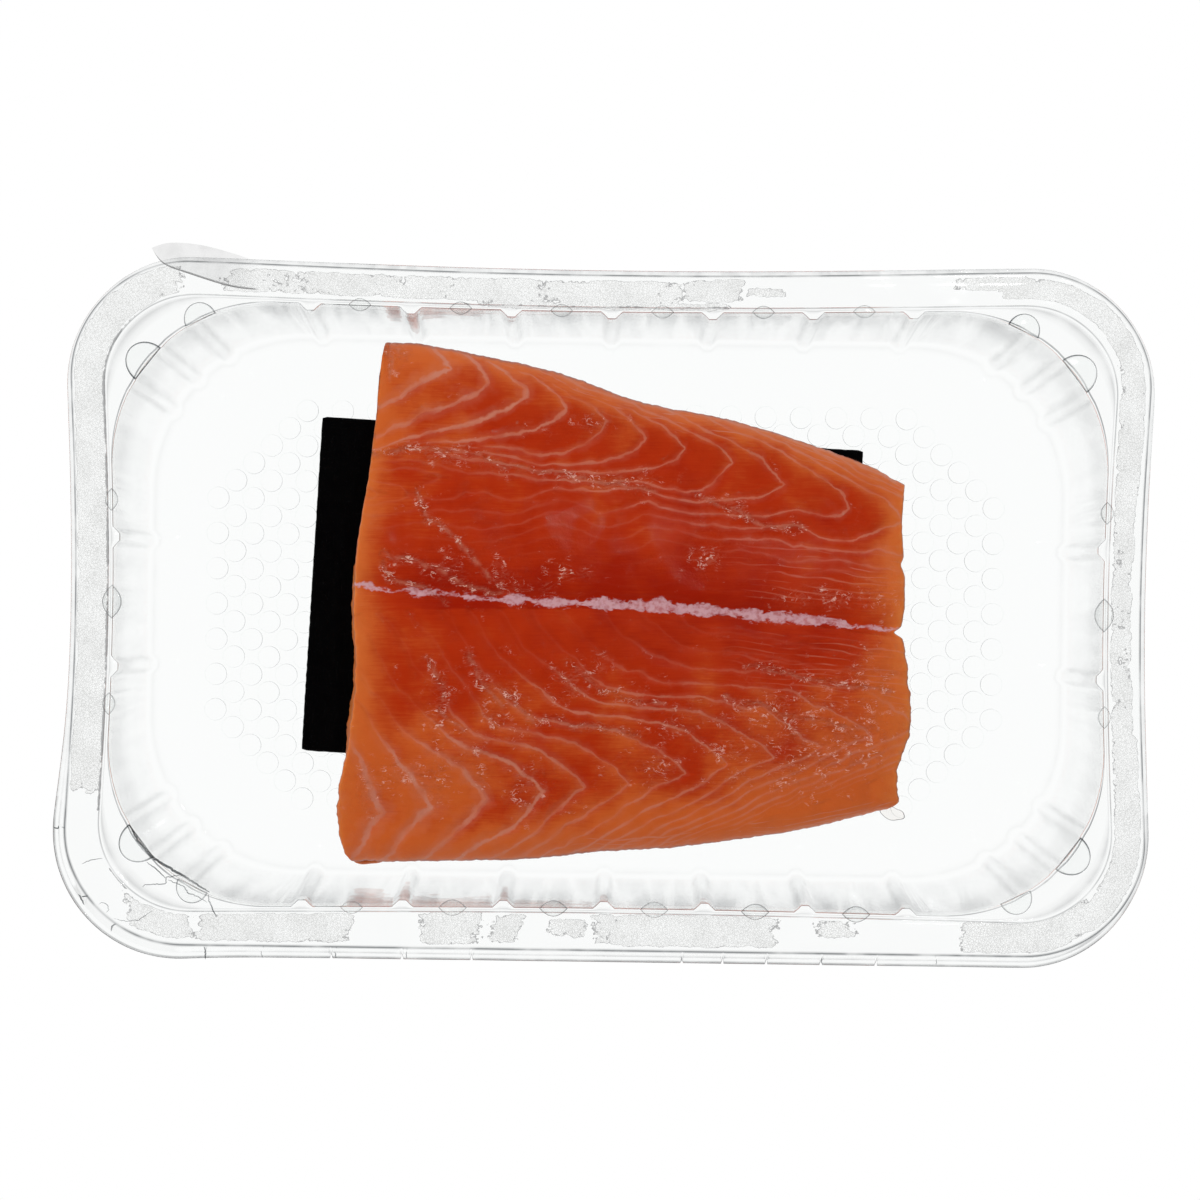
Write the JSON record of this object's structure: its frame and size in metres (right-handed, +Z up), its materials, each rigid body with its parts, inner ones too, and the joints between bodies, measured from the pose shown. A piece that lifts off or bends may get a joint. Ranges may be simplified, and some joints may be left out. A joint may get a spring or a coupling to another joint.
{
  "type": "salmon fillet in plastic tray",
  "caption": "Raw salmon fillet on a black absorbent pad in a clear ribbed plastic tray, its lid film peeled off and a scrap left on the rim.",
  "frame": {"origin": "under the middle of the whole outline, on the surface that the tray stands on", "axes": "+X along the tray's long side towards the fillet's narrow end, +Z up, +Y towards the long side that the lid's pull bowed in"},
  "size_m": [0.2706, 0.1764, 0.0407],
  "materials": {
    "clear_plastic": "clear, glossy formed sheet with frosted seal marks on its flange",
    "black_pad": "matt black nonwoven",
    "salmon_flesh": "moist raw flesh, orange red with pale layers",
    "lid_film": "thin hazy torn film"
  },
  "bodies": {
    "root": {"tray": "clear_plastic", "absorbent_pad": "black_pad", "salmon_fillet": "salmon_flesh", "film_remnant": "lid_film"}
  },
  "joints": []
}
